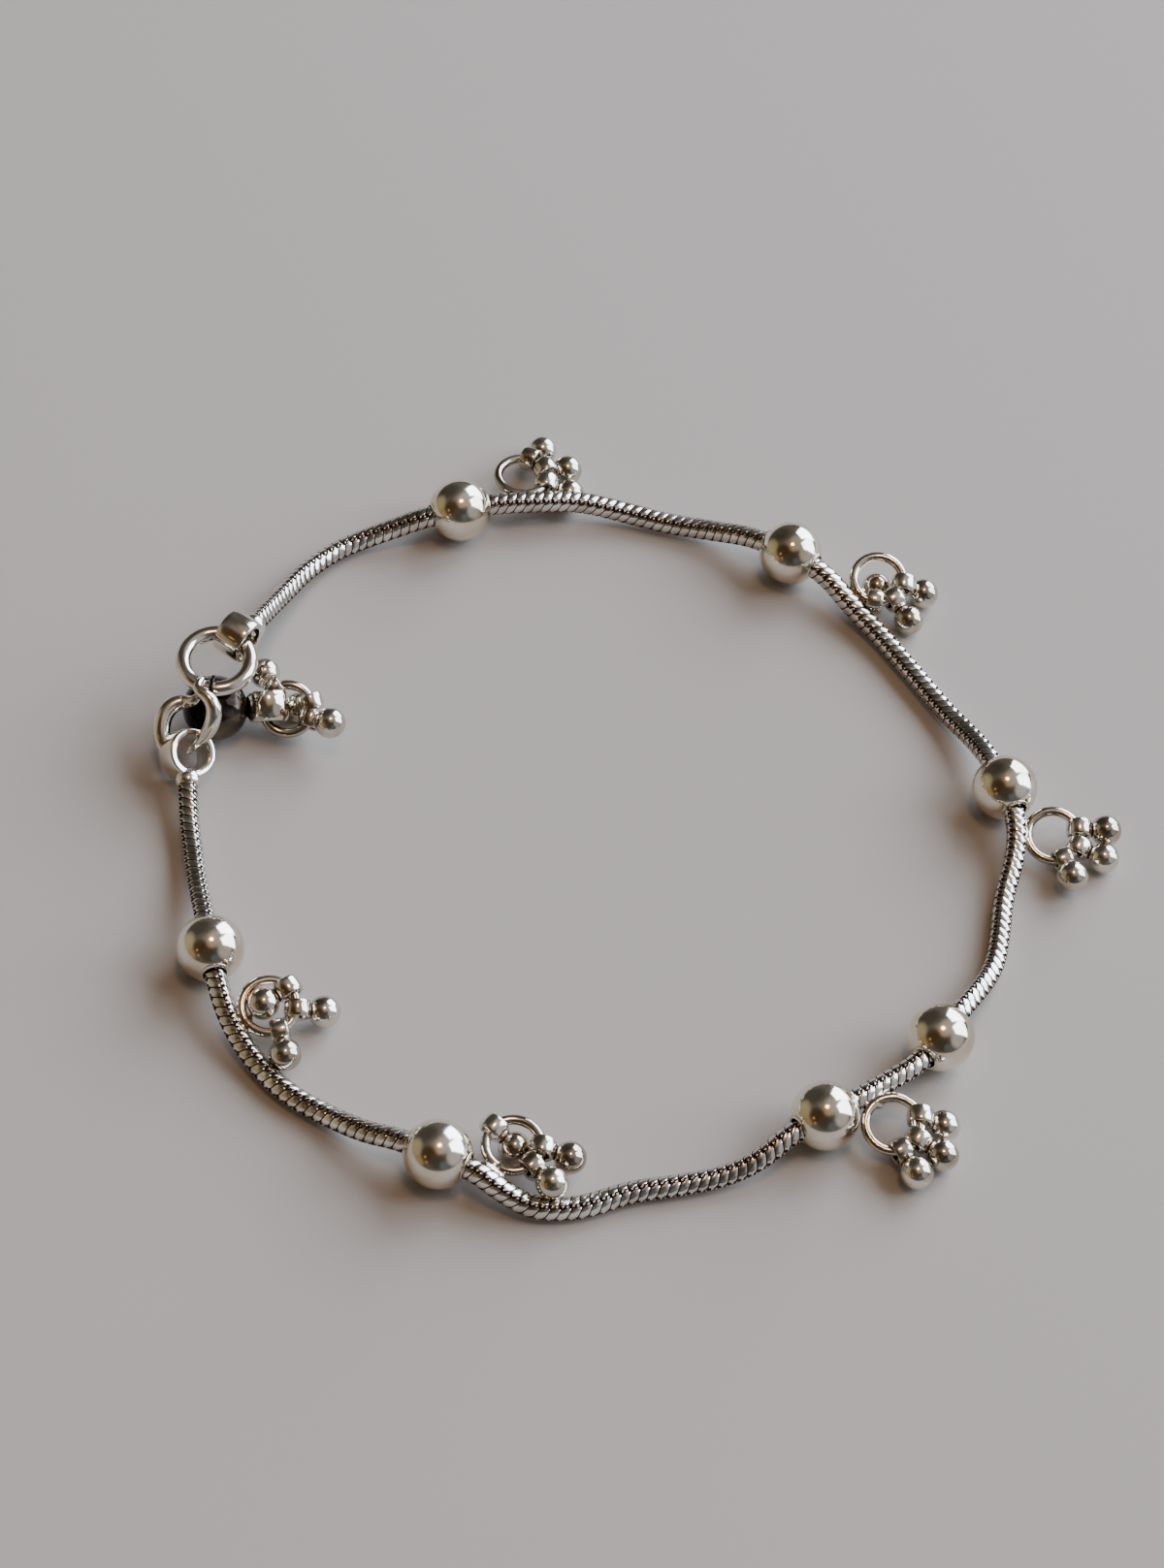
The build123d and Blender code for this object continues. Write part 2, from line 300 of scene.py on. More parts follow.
def one_scale(rubbed, painted_shade_edges):
    """A plate over one side of the rope, swollen like a cushion, its tips folded over
    the edges."""
    deselect()
    bpy.ops.mesh.primitive_grid_add(x_subdivisions=len(SCALE_SWELL) - 1,
                                    y_subdivisions=len(SCALE_ROWS) - 1, size=2)
    scale = bpy.context.object
    shape = edit(scale)
    lines_along = grid_lines(shape, 0, len(SCALE_SWELL))
    lines_across = grid_lines(shape, 1, len(SCALE_ROWS))
    lean = SCALE_SLANT * SCALE_PITCH / (SCALE_ROWS[-1][0] * MM)
    for (_, line), drop in zip(lines_along, SCALE_SWELL):
        pick(shape, shape.verts, lambda v: v.index in line)
        bpy.ops.transform.translate(value=(0, 0, -drop * MM))
        shape = bmesh.from_edit_mesh(scale.data)
    for (level, line), (across, height, half) in zip(lines_across, SCALE_ROWS):
        pick(shape, shape.verts, lambda v: v.index in line)
        bpy.ops.transform.resize(value=(half * MM, 1, 1), center_override=(0, level, 0))
        bpy.ops.transform.translate(
            value=(lean * across * MM, across * MM - level, height * MM))
        shape = bmesh.from_edit_mesh(scale.data)
    pick(shape, shape.edges, lambda e: e.is_boundary)
    bpy.ops.mesh.extrude_region_move(TRANSFORM_OT_translate={"value": (0, 0, -SCALE_WALL)})
    bpy.ops.mesh.select_all(action="SELECT")
    bpy.ops.mesh.normals_make_consistent(inside=False)
    # the plate's edges, and its tips away from their crests, are painted black as shade
    scale.data.materials.append(rubbed)
    scale.data.materials.append(painted_shade_edges)
    scale.active_material_index = 1
    shape = bmesh.from_edit_mesh(scale.data)

    # the faces painted black as shade: sideways edges, and tips away from their crests
    def gets_painted_shade(face):
        spot = face.calc_center_median()
        beside = abs(spot.x - lean * spot.y) > CREST_REACH
        return abs(face.normal.z) < EDGE_FACING or abs(spot.y) > PLATE_REACH and beside

    pick(shape, shape.faces, gets_painted_shade)
    bpy.ops.object.material_slot_assign()
    bpy.ops.object.mode_set(mode="OBJECT")
    bpy.ops.object.shade_smooth_by_angle(angle=radians(60))
    return scale


line, spline = smooth_line([row[:3] for row in CHAIN_ROUTE], 12)
for point, row in zip(spline.points, CHAIN_ROUTE):
    point.tilt = radians(row[3])
line.data.twist_mode = "Z_UP"
line.data.use_path = True
length = spline.calc_length()
links = int(length / SCALE_PITCH)

silver_scales = rubbed_scale_silver()
# brown-black painted shade for inside the rope, between the scales and in the bells' seams
shade_black = painted_shade_silver()
scale = one_scale(silver_scales, shade_black)
rows = [scale]
for side in (1, 2, 3):
    row = copy_of(scale)
    settle(row, Matrix.Translation((side * SCALE_PITCH / 4, 0, 0))
           @ Matrix.Rotation(-radians(90 * side), 4, "X"))
    rows.append(row)
snake_chain = join(rows, "snake_chain_scales")
array = snake_chain.modifiers.new("links", "ARRAY")
array.count = links
array.use_relative_offset = False
array.use_constant_offset = True
array.constant_offset_displace = (length / links, 0, 0)
follow = snake_chain.modifiers.new("line", "CURVE")
follow.object = line
follow.deform_axis = "POS_X"
apply_all(snake_chain)

# a black tube painted in as the shade inside the rope, seen only between the scales
core = copy_of(line)
core.data.bevel_depth = CORE_RADIUS
core.data.bevel_resolution = 2
core.data.use_fill_caps = True
core.data.splines[0].resolution_u = 4
core = as_mesh(core, "snake_chain_painted_shade_core")
core.data.materials.append(shade_black)
bpy.data.objects.remove(line)

for piece in (snake_chain, core):
    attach(piece, "root")
    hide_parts("snake_chain")

# ---------------------------------------------------------------------------
# The bails, one at each end of the chain.
# A wide strip of silver bent into a barrel-shaped loop and soldered to a collar
# that closes the end of the rope.
# ---------------------------------------------------------------------------
BAIL_BAND = 3.0 * MM
BAIL_CROWN = 0.05                  # the middle of the band stands out by this share
UPPER_BAIL = Vector((-0.04065, 0.0112, 0.0083))
LOWER_BAIL = Vector((-0.04415, 0.0, 0.0028))
LOWER_BAIL_AXIS = Vector((0.51, -0.39, 0.76))
CLASP_RING_TILT = 8                # degrees that the clasp ring's far side is lifted
UPPER_BAIL_AROUND = 60             # degrees round that ring from its right
BAND_CUTS = [
    # place across the band, as a share of it, and share of the crown there
    (-0.3, 0.8),
    (0.0, 1.0),
    (0.3, 0.8),
]
BAND_EDGE = 0.28                   # of the wall: how far a band's edges are rounded
COLLAR_RADIUS = 1.3 * MM
COLLAR_UP_ROPE = 0.5 * MM          # from the end of the rope to the collar's middle
COLLAR_SHOULDER = 0.45             # of its radius: beyond it, toward the rope, the collar
COLLAR_PRESS = 0.5                 # keeps this share of its bulge
SILVER_CLOUD = 3.8 * MM
HAIRLINE = 0.55 * MM               # coarser than the real ones, so that they show


def ring_directions(tilt):
    """Right, far and up of a ring whose far side is lifted by tilt."""
    far = Vector((0, cos(radians(tilt)), sin(radians(tilt))))
    up = Vector((0, -sin(radians(tilt)), cos(radians(tilt))))
    return Vector((1, 0, 0)), far, up


def standing(centre, axis, toward=None):
    """A place whose Z runs along axis, and whose X points toward a direction."""
    axis = axis.normalized()
    toward = toward or (Vector((0, 0, 1)) if abs(axis.z) < 0.9 else Vector((1, 0, 0)))
    x = (toward - axis * axis.dot(toward)).normalized()
    y = axis.cross(x)
    return Matrix.Translation(centre) @ Matrix((x, y, axis)).transposed().to_4x4()


def polished_silver(name, dull, bright, smoothest, roughest, clouded):
    """Sterling silver with a mirror polish: bright metal that turns to a duller tone
    in soft clouds where the air has tarnished it, and hairlines from handling."""
    made, tree, output = new_material(name)
    places = add_node(tree, "ShaderNodeTexCoord")
    cloud = add_node(tree, "ShaderNodeTexNoise", values={"Scale": 1 / SILVER_CLOUD, "Detail": 3},
                     links={"Vector": places.outputs["Object"]})
    tone = add_node(tree, "ShaderNodeValToRGB", links={"Fac": cloud.outputs["Fac"]})
    tone.color_ramp.elements[0].position = clouded
    tone.color_ramp.elements[0].color = linear(dull)
    tone.color_ramp.elements[1].position = clouded + 0.25
    tone.color_ramp.elements[1].color = linear(bright)
    gloss = add_node(tree, "ShaderNodeMapRange",
                     values={"From Min": 0.3, "From Max": 0.7,
                             "To Min": smoothest, "To Max": roughest},
                     links={"Value": cloud.outputs["Fac"]})
    hairs = add_node(tree, "ShaderNodeTexNoise",
                     values={"Scale": 1 / HAIRLINE, "Detail": 3, "Distortion": 0.6},
                     links={"Vector": places.outputs["Object"]})
    bump = add_node(tree, "ShaderNodeBump", values={"Strength": 0.06, "Distance": 0.03 * MM},
                    links={"Height": hairs.outputs["Fac"]})
    shader = add_node(tree, "ShaderNodeBsdfPrincipled", values={"Metallic": 1.0},
                      links={"Base Color": tone.outputs["Color"],
                             "Roughness": gloss.outputs["Result"],
                             "Normal": bump.outputs["Normal"]})
    tree.links.new(shader.outputs["BSDF"], output.inputs["Surface"])
    return made


def band_loop(diameter, band, wall, crown, around=40):
    """A strip bent into a loop about Z, barrel-shaped, with softened edges."""
    deselect()
    bpy.ops.mesh.primitive_cylinder_add(vertices=around, radius=diameter / 2 * (1 - crown),
                                        depth=band, end_fill_type="NOTHING")
    loop = bpy.context.object
    edit(loop)
    for place, _ in BAND_CUTS:
        bpy.ops.mesh.select_all(action="SELECT")
        bpy.ops.mesh.bisect(plane_co=(0, 0, place * band), plane_no=(0, 0, 1))
    swell = 1 / (1 - crown)
    for place, share in BAND_CUTS:
        shape = bmesh.from_edit_mesh(loop.data)
        pick(shape, shape.verts, lambda v: abs(v.co.z - place * band) < 1e-6)
        grow = 1 + (swell - 1) * share
        bpy.ops.transform.resize(value=(grow, grow, 1), center_override=(0, 0, 0))
    bpy.ops.object.mode_set(mode="OBJECT")
    sheet = loop.modifiers.new("sheet", "SOLIDIFY")
    sheet.thickness = wall
    sheet.offset = -1
    edge = loop.modifiers.new("edge", "BEVEL")
    edge.width = BAND_EDGE * wall
    edge.segments = 3
    edge.angle_limit = radians(50)
    apply_all(loop)
    bpy.ops.object.shade_smooth_by_angle(angle=radians(40))
    return loop


# tumbled to a mirror and hardly worn: nearly white, with faint warm clouds
mirror_silver = polished_silver("polished_sterling_silver", "#D6CDBC", "#F4F0E8",
                                0.08, 0.14, 0.34)
clasp_right, clasp_far, clasp_up = ring_directions(CLASP_RING_TILT)
upper_axis = (clasp_far * cos(radians(UPPER_BAIL_AROUND))
              - clasp_right * sin(radians(UPPER_BAIL_AROUND)))
BAILS = [
    # name, centre, axis, row of the route at the end of the rope, diameter, wall
    ("upper_bail", UPPER_BAIL, upper_axis, CHAIN_ROUTE[0], 4.6 * MM, 0.55 * MM),
    ("lower_bail", LOWER_BAIL, LOWER_BAIL_AXIS, CHAIN_ROUTE[-1], 5.1 * MM, 0.75 * MM),
]
for name, centre, axis, end_row, diameter, wall in BAILS:
    end = Vector(end_row[:3])
    bail = band_loop(diameter, BAIL_BAND, wall, BAIL_CROWN)
    settle(bail, standing(centre, axis, end - centre))
    deselect()
    bpy.ops.mesh.primitive_uv_sphere_add(segments=24, ring_count=14, radius=COLLAR_RADIUS)
    collar = bpy.context.object
    up_rope = (end - centre).normalized()
    shoulder = COLLAR_SHOULDER * COLLAR_RADIUS
    shape = edit(collar)
    pick(shape, shape.verts, lambda v: v.co.z > shoulder)
    bpy.ops.transform.resize(value=(1, 1, COLLAR_PRESS), center_override=(0, 0, shoulder))
    bpy.ops.object.mode_set(mode="OBJECT")
    bpy.ops.object.shade_smooth()
    settle(collar, standing(end + up_rope * COLLAR_UP_ROPE, up_rope))
    bail = join([bail, collar], name)
    bail.data.materials.append(mirror_silver)
    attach(bail, "root")
    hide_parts("snake_chain")

# ---------------------------------------------------------------------------
# The charm rings, soldered to the side of the chain.
# Jump rings of round silver wire, each closed and fixed by one puddle of solder
# that runs a little way along the rope.
# ---------------------------------------------------------------------------
CHARM_RING_WIRE = 0.98 * MM
CHARM_RING_RADIUS = 6.1 * MM / 2 - CHARM_RING_WIRE / 2
JOINT_PINCH = (0.97, 1, 0.93)      # the wire at a ring's joint, as shares of its size
SOLDER_REACH = 3.0 * MM            # along the rope
SOLDER_THICK = 1.0 * MM
SOLDER_OUT = 0.1 * MM              # from halfway between rope and wire toward the wire,
SOLDER_DOWN = 0.15 * MM            # and below it
SOLDER_NECK = (0.55, 1.25, 0.85)   # its side toward the wire is drawn out,
SOLDER_FOOT = (1.12, 0.80, 0.70)   # and its side on the rope spread, by these shares
SOLDER_VOXEL = 0.1 * MM

CHARMS = [
    # name  ring x   y        z        tilt  bells: (around, lift, lean)
    ("a", -0.0149, 0.0425, 0.0025, 0, [(77, -20, -12), (30, -20, -3), (344, -20, 10)]),
    ("b", 0.02295, 0.03255, 0.00315, 20, [(265, -145, 0), (310, -4, 0), (355, -34, 0)]),
    ("c", 0.04143, 0.0017, 0.0022, 20, [(22, -5, -18), (340, 1, 1), (294, 34, -2)]),
    ("d", 0.02661, -0.03485, 0.00255, 20, [(21, -31, -25), (333, -1, 0), (290, 18, 16)]),
    ("e", -0.0081, -0.0419, 0.0030, 10, [(140, -150, -8), (316, 15, 2), (1, -11, -11)]),
    ("f", -0.0322, -0.0292, 0.0029, 20, [(51, 177, 11), (0, -24, 7), (300, 20, -11)]),
]


def wire_ring(radius, wire, around=56):
    """A round wire bent into a ring about Z, its joint pinched a little thinner."""
    deselect()
    bpy.ops.mesh.primitive_torus_add(major_segments=around, minor_segments=14,
                                     major_radius=radius, minor_radius=wire / 2)
    ring = bpy.context.object
    shape = edit(ring)
    beside_joint = 0.4 * 2 * pi / around * radius
    pick(shape, shape.verts, lambda v: v.co.x > 0 and abs(v.co.y) < beside_joint)
    bpy.ops.transform.resize(value=JOINT_PINCH, center_override=(radius, 0, 0))
    bpy.ops.object.mode_set(mode="OBJECT")
    bpy.ops.object.shade_smooth()
    return ring


def nearest_on_chain(point):
    """The place on the chain's route nearest to a point, and the route's direction."""
    corners = [Vector(row[:3]) for row in CHAIN_ROUTE]
    found = []
    for start, end in zip(corners, corners[1:]):
        run = end - start
        share = max(0, min(1, (point - start).dot(run) / run.dot(run)))
        place = start + run * share
        found.append(((place - point).length, place, run.normalized()))
    return min(found, key=lambda row: row[0])[1:]


def solder_puddle():
    """A lens of solder one unit wide: long along X, drawn to the ring's wire on its +Y
    side."""
    deselect()
    bpy.ops.mesh.primitive_uv_sphere_add(segments=24, ring_count=14, radius=0.5)
    puddle = bpy.context.object
    neck, foot = 0.12, -0.1        # where the two sides begin
    shape = edit(puddle)
    pick(shape, shape.verts, lambda v: v.co.y > neck)
    bpy.ops.transform.resize(value=SOLDER_NECK, center_override=(0, neck, 0))
    shape = bmesh.from_edit_mesh(puddle.data)
    pick(shape, shape.verts, lambda v: v.co.y < foot)
    bpy.ops.transform.resize(value=SOLDER_FOOT, center_override=(0, foot, 0))
    bpy.ops.object.mode_set(mode="OBJECT")
    bpy.ops.object.shade_smooth()
    return puddle


# polished once and worn since: the same mirror, greyer and warmer in its clouds
tarnished_silver = polished_silver("tarnished_sterling_silver", "#B6AC9C", "#EAE4D9",
                                   0.08, 0.17, 0.36)
for name, x, y, z, tilt, bells in CHARMS:
    centre = Vector((x, y, z))
    ring_up = ring_directions(tilt)[2]
    toward = nearest_on_chain(centre)[0] - centre
    toward = (toward - ring_up * toward.dot(ring_up)).normalized()
    ring = wire_ring(CHARM_RING_RADIUS, CHARM_RING_WIRE)
    settle(ring, standing(centre, ring_up, toward))
    on_ring = centre + toward * CHARM_RING_RADIUS
    on_chain, along = nearest_on_chain(on_ring)
    span = on_ring - on_chain
    across = (span - along * span.dot(along)).normalized()
    lie = Matrix((along, across, along.cross(across))).transposed().to_4x4()
    spread = Matrix.Diagonal((SOLDER_REACH, span.length + CHARM_RING_WIRE, SOLDER_THICK, 1))
    middle = on_chain + span * 0.5 + across * SOLDER_OUT - ring_up * SOLDER_DOWN
    puddle = solder_puddle()
    settle(puddle, Matrix.Translation(middle) @ lie @ spread)
    ring = join([ring, puddle], f"charm_ring_{name}")
    flow = ring.modifiers.new("solder_flow", "REMESH")
    flow.mode = "VOXEL"
    flow.voxel_size = SOLDER_VOXEL
    soften = ring.modifiers.new("solder_soften", "SMOOTH")
    soften.factor = 0.5
    soften.iterations = 4
    apply_all(ring)
    bpy.ops.object.shade_smooth()
    ring.data.materials.clear()
    ring.data.materials.append(tarnished_silver)
    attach(ring, "root")
    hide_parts("snake_chain")

# ---------------------------------------------------------------------------
# The strung balls.
# Two pressed cups of silver sheet soldered into a hollow bead, polished to a
# mirror, with a rolled rim round each hole that the rope runs through.
# ---------------------------------------------------------------------------
BALL_RADIUS = 3.25 * MM
BALL_HOLE_RADIUS = 1.28 * MM
BALL_RIM_WIRE = 0.18 * MM
BALL_LIP = (0.93, 0.93, 0.86)      # the sheet turns into the hole down to these shares
BALL_RUNS = [7, 14, 21, 28, 31, 40, 47]    # rows of the route where each ball's run starts


def hollow_ball():
    """A ball about Z at the origin, open where the rope goes in and out."""
    deselect()
    bpy.ops.mesh.primitive_uv_sphere_add(segments=64, ring_count=44, radius=BALL_RADIUS)
    ball = bpy.context.object
    edit(ball)
    mouth = (BALL_RADIUS ** 2 - BALL_HOLE_RADIUS ** 2) ** 0.5
    for side in (-1, 1):
        bpy.ops.mesh.select_all(action="SELECT")
        bpy.ops.mesh.bisect(plane_co=(0, 0, side * mouth), plane_no=(0, 0, side),
                            clear_outer=True)
    shape = bmesh.from_edit_mesh(ball.data)
    pick(shape, shape.edges, lambda e: e.is_boundary)
    bpy.ops.mesh.extrude_region_move()
    bpy.ops.transform.resize(value=BALL_LIP, center_override=(0, 0, 0))
    bpy.ops.object.mode_set(mode="OBJECT")
    bpy.ops.object.shade_smooth_by_angle(angle=radians(40))
    parts = [ball]
    for side in (-1, 1):
        deselect()
        bpy.ops.mesh.primitive_torus_add(major_segments=40, minor_segments=10,
                                         major_radius=BALL_HOLE_RADIUS + BALL_RIM_WIRE / 2,
                                         minor_radius=BALL_RIM_WIRE / 2,
                                         location=(0, 0, side * (mouth - BALL_RIM_WIRE / 2)))
        bpy.ops.object.shade_smooth()
        parts.append(bpy.context.object)
    return join(parts, "ball_to_copy")


# the same polish, yellowed a little by the air: a creamy mirror
ball_silver = polished_silver("warm_polished_silver", "#D4C8AF", "#EFE8DA",
                              0.09, 0.16, 0.34)
ball_to_copy = hollow_ball()
ball_to_copy.data.materials.clear()
ball_to_copy.data.materials.append(ball_silver)
settle(ball_to_copy)
for number, run in enumerate(BALL_RUNS, 1):
    first, last = (Vector(row[:3]) for row in CHAIN_ROUTE[run:run + 2])
    ball = copy_of(ball_to_copy)
    ball.name = f"strung_ball_{number}"
    settle(ball, standing((first + last) / 2, last - first))
    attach(ball, "root")
    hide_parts(f"ball_{number}")
bpy.data.objects.remove(ball_to_copy)

# ---------------------------------------------------------------------------
# The ghungroo, three small bells on each charm ring.
# A round silver ball soldered to a wide band loop, in the same worn silver as the
# rings; a black ring in the seam between ball and loop is painted shade.
# ---------------------------------------------------------------------------
BELL_RADIUS = 1.55 * MM
BELL_FLAT = 0.93                   # of its radius: beyond it, under the loop, the ball
BELL_PRESS = 0.1                   # keeps this share of its bulge
BELL_LOOP_DIAMETER = 2.6 * MM
BELL_LOOP_BAND = 1.7 * MM
BELL_LOOP_WALL = 0.38 * MM
BELL_LOOP_SEAT = 0.15 * MM         # the loop is let into the ball by this much
BELL_LOOP_HANG = 0.12 * MM         # from the ring's wire to the middle of the loop
BELL_LOOP_CROWN = 0.10
SEAM_RADIUS = 0.47 * MM
SEAM_WIRE = 0.34 * MM
SEAM_LET_IN = 0.03 * MM
SEAM_OVAL = (1, 0.9, 1.15)         # longer across the band than round it


def one_bell():
    """Loop about Z at the origin, the ball along X."""
    loop = band_loop(BELL_LOOP_DIAMETER, BELL_LOOP_BAND, BELL_LOOP_WALL, BELL_LOOP_CROWN, 28)
    reach = BELL_RADIUS + BELL_LOOP_DIAMETER / 2 - BELL_LOOP_SEAT
    deselect()
    bpy.ops.mesh.primitive_uv_sphere_add(segments=32, ring_count=20, radius=BELL_RADIUS,
                                         location=(reach, 0, 0), rotation=(0, pi / 2, 0))
    ball = bpy.context.object
    settle(ball)
    flat = reach - BELL_FLAT * BELL_RADIUS
    shape = edit(ball)
    pick(shape, shape.verts, lambda v: v.co.x < flat)
    bpy.ops.transform.resize(value=(BELL_PRESS, 1, 1), center_override=(flat, 0, 0))
    bpy.ops.object.mode_set(mode="OBJECT")
    bpy.ops.object.shade_smooth()
    # a black ring in the seam between loop and ball, painted there as shade
    deselect()
    bpy.ops.mesh.primitive_torus_add(major_segments=24, minor_segments=8,
                                     major_radius=SEAM_RADIUS, minor_radius=SEAM_WIRE / 2,
                                     location=(BELL_LOOP_DIAMETER / 2 - SEAM_LET_IN, 0, 0),
                                     rotation=(0, pi / 2, 0))
    seam = bpy.context.object
    bpy.ops.object.shade_smooth()
    settle(seam)
    edit(seam)
    bpy.ops.mesh.select_all(action="SELECT")
    bpy.ops.transform.resize(value=SEAM_OVAL, center_override=(0, 0, 0))
    bpy.ops.object.mode_set(mode="OBJECT")
    for part, finish in ((loop, tarnished_silver), (ball, tarnished_silver),
                         (seam, shade_black)):
        part.data.materials.clear()
        part.data.materials.append(finish)
    return join([loop, ball, seam], "bell_to_copy")


def hang_bell(pattern, name, node, ring_centre, ring_radius, tilt, around, lift, lean):
    """A bell whose loop holds the ring's wire at an angle round the ring. Lift turns it
    out of the ring's plane about the wire, and lean tips it along the wire."""
    ring_right, ring_far, ring_up = ring_directions(tilt)
    about, rise, tip = radians(around), radians(lift), radians(lean)
    outward = ring_right * cos(about) + ring_far * sin(about)
    along = ring_far * cos(about) - ring_right * sin(about)
    hang = outward * cos(rise) + ring_up * sin(rise)
    loop_centre = ring_centre + outward * ring_radius + hang * BELL_LOOP_HANG
    out = hang * cos(tip) + along * sin(tip)
    axis = along * cos(tip) - hang * sin(tip)
    bell = copy_of(pattern)
    bell.name = name
    settle(bell, standing(loop_centre, axis, out))
    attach(bell, "root")
    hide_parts(node)


bell_to_copy = one_bell()
for name, x, y, z, tilt, bells in CHARMS:
    for number, (around, lift, lean) in enumerate(bells, 1):
        hang_bell(bell_to_copy, f"bell_{name}_{number}", f"ghungroo_{name}_{number}",
                  Vector((x, y, z)), CHARM_RING_RADIUS, tilt, around, lift, lean)

# ---------------------------------------------------------------------------
# The clasp ring.
# Thick round silver wire, soldered shut and polished, that the upper bail holds and
# the hook catches.
# ---------------------------------------------------------------------------
CLASP_RING = Vector((-0.0423, 0.0078, 0.0082))
CLASP_RING_WIRE = 1.55 * MM
CLASP_RING_RADIUS = 8.1 * MM / 2 - CLASP_RING_WIRE / 2

clasp_ring = wire_ring(CLASP_RING_RADIUS, CLASP_RING_WIRE, 72)
clasp_ring.name = "clasp_ring_wire"
settle(clasp_ring, standing(CLASP_RING, clasp_up, clasp_far))
clasp_ring.data.materials.append(mirror_silver)
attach(clasp_ring, "root")
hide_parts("clasp_ring")

# ---------------------------------------------------------------------------
# The clasp hook.
# Silver wire, forged thick at its back and drawn to a point at its nose, bent so
# that it holds the clasp ring and drops through the lower bail.
# ---------------------------------------------------------------------------
HOOK_WIRE = 1.2 * MM               # the tables give its thickness as a share of this
HOOK_AROUND = 250                  # degrees round the clasp ring from its right
HOOK_TIP = [
    # x      y        z       thickness there
    (-0.0440, 0.0000, 0.0031, 0.40),
    (-0.0431, 0.0004, 0.0043, 0.90),
    (-0.0419, 0.0010, 0.0059, 1.30),
    (-0.0416, 0.0019, 0.0076, 1.35),
    (-0.0423, 0.0028, 0.0085, 1.10),
]
HOOK_BEND = 1.15 * MM              # from the middle of the ring's wire to a corner
HOOK_CORNERS = [
    # outward  up     thickness there
    (1.0, 1.0, 0.80),
    (-0.6, 0.75, 0.50),
    (-0.8, -0.9, 0.50),
    (1.0, -1.0, 0.80),
]
HOOK_HEEL = [
    # x      y        z       thickness there
    (-0.0448, 0.0045, 0.0054, 1.15),
    (-0.0458, 0.0044, 0.0053, 1.35),
    (-0.0467, 0.0036, 0.0049, 1.45),
    (-0.0470, 0.0023, 0.0042, 1.45),
    (-0.0468, 0.0011, 0.0034, 1.35),
    (-0.0462, 0.0002, 0.0026, 1.20),
    (-0.0452, -0.0004, 0.0020, 0.90),
]

turned = radians(HOOK_AROUND)
outward = clasp_right * cos(turned) + clasp_far * sin(turned)
caught = CLASP_RING + outward * CLASP_RING_RADIUS
bend = [(*(caught + outward * HOOK_BEND * side + clasp_up * HOOK_BEND * level), thickness)
        for side, level, thickness in HOOK_CORNERS]
hook_points = HOOK_TIP + bend + HOOK_HEEL
hook, spline = smooth_line([row[:3] for row in hook_points], 10)
for point, row in zip(spline.points, hook_points):
    point.radius = row[3]
hook.data.bevel_depth = HOOK_WIRE / 2
hook.data.bevel_resolution = 5
hook.data.use_fill_caps = True
hook = as_mesh(hook, "clasp_hook_wire")
bpy.ops.object.shade_smooth_by_angle(angle=radians(50))
hook.data.materials.append(mirror_silver)
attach(hook, "root")
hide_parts("clasp_hook")

# ---------------------------------------------------------------------------
# The drop: an eighth ball under the clasp ring.
# A hollow ball like the strung ones, hung by a wire eye, with a wide band loop
# soldered to its side for the bunch of bells.
# ---------------------------------------------------------------------------
DROP_BALL = Vector((-0.0422, 0.0059, 0.00325))
DROP_DENT = 0.965                  # of its radius: beyond it, under the loop, the ball
DROP_PRESS = 0.2                   # keeps this share of its bulge
DROP_LOOP_DIAMETER = 4.4 * MM
DROP_LOOP_BAND = 3.1 * MM
DROP_LOOP_WALL = 0.45 * MM
DROP_LOOP_CROWN = 0.17
DROP_EYE_RADIUS = 1.3 * MM
DROP_EYE_WIRE = 0.5 * MM
BUNCH_RING = Vector((-0.0351, 0.0068, 0.0032))
BUNCH_RING_TILT = 37               # degrees that its far side is lifted
BUNCH_RING_RADIUS = 5.8 * MM / 2 - CHARM_RING_WIRE / 2

# a dark, uneven mirror: the drop ball and its eye painted dark as the shade under the clasp ring
shaded_silver = polished_silver("polished_silver_painted_dark_as_shade", "#1A1512", "#6E655A",
                                0.09, 0.18, 0.42)
near_wire = CLASP_RING - clasp_far * CLASP_RING_RADIUS
to_wire = (near_wire - DROP_BALL).normalized()
eye_centre = DROP_BALL + to_wire * (BALL_RADIUS + DROP_EYE_RADIUS - DROP_EYE_WIRE / 2)
bunch_right, bunch_far, bunch_up = ring_directions(BUNCH_RING_TILT)
to_loop = (BUNCH_RING - bunch_right * BUNCH_RING_RADIUS - DROP_BALL).normalized()
loop_axis = (bunch_far - to_loop * bunch_far.dot(to_loop)).normalized()
loop_centre = DROP_BALL + to_loop * (BALL_RADIUS + DROP_LOOP_DIAMETER / 2 - DROP_LOOP_WALL / 2)
deselect()
bpy.ops.mesh.primitive_uv_sphere_add(segments=64, ring_count=40, radius=BALL_RADIUS)
drop_ball = bpy.context.object
dent = DROP_DENT * BALL_RADIUS
shape = edit(drop_ball)
pick(shape, shape.verts, lambda v: v.co.z > dent)
bpy.ops.transform.resize(value=(1, 1, DROP_PRESS), center_override=(0, 0, dent))
bpy.ops.object.mode_set(mode="OBJECT")
bpy.ops.object.shade_smooth()
settle(drop_ball, standing(DROP_BALL, to_loop, loop_axis))
# painted shade: the ball is made dark for lying under the clasp ring
drop_ball.data.materials.append(shaded_silver)
eye_ring = wire_ring(DROP_EYE_RADIUS, DROP_EYE_WIRE, 40)
settle(eye_ring, standing(eye_centre, clasp_right, to_wire))
eye_ring.data.materials.append(shaded_silver)
drop_loop = band_loop(DROP_LOOP_DIAMETER, DROP_LOOP_BAND, DROP_LOOP_WALL, DROP_LOOP_CROWN, 64)
settle(drop_loop, standing(loop_centre, loop_axis, to_loop))
drop_loop.data.materials.append(mirror_silver)
drop = join([drop_ball, eye_ring, drop_loop], "drop_ball_with_loop")
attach(drop, "root")
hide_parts("drop_ball")

